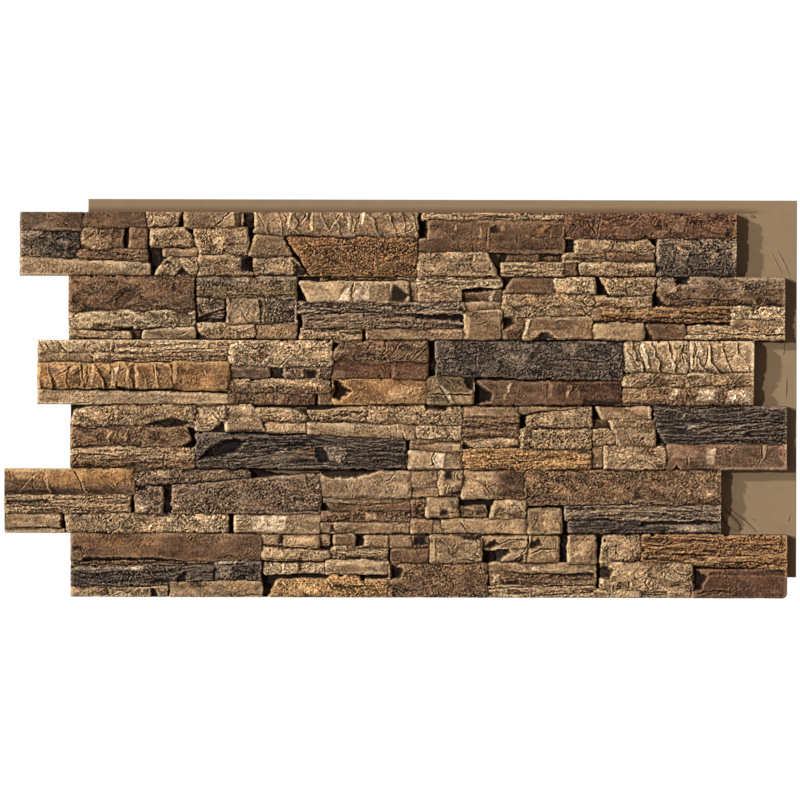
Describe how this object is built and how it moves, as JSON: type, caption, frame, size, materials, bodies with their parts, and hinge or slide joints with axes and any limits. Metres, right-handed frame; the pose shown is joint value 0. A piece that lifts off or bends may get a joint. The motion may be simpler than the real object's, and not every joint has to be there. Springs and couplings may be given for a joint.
{
  "type": "faux stone wall panel",
  "caption": "Interlocking stacked-ledgestone wall panel in moulded foam, with stepped course ends on both sides, a top flange and an end flange that the next panels lap over.",
  "frame": {"origin": "under the middle of the whole outline, flanges included, on the back plane", "axes": "+X along the courses towards the end flange, +Y up the wall towards the top flange, +Z out of the stone face; the panel lies on its back"},
  "size_m": [1.232, 0.619, 0.038],
  "materials": {
    "foam": "matt moulded polyurethane, coloured as weathered ledgestone"
  },
  "bodies": {
    "root": {"stone_panel": "foam"}
  },
  "joints": []
}
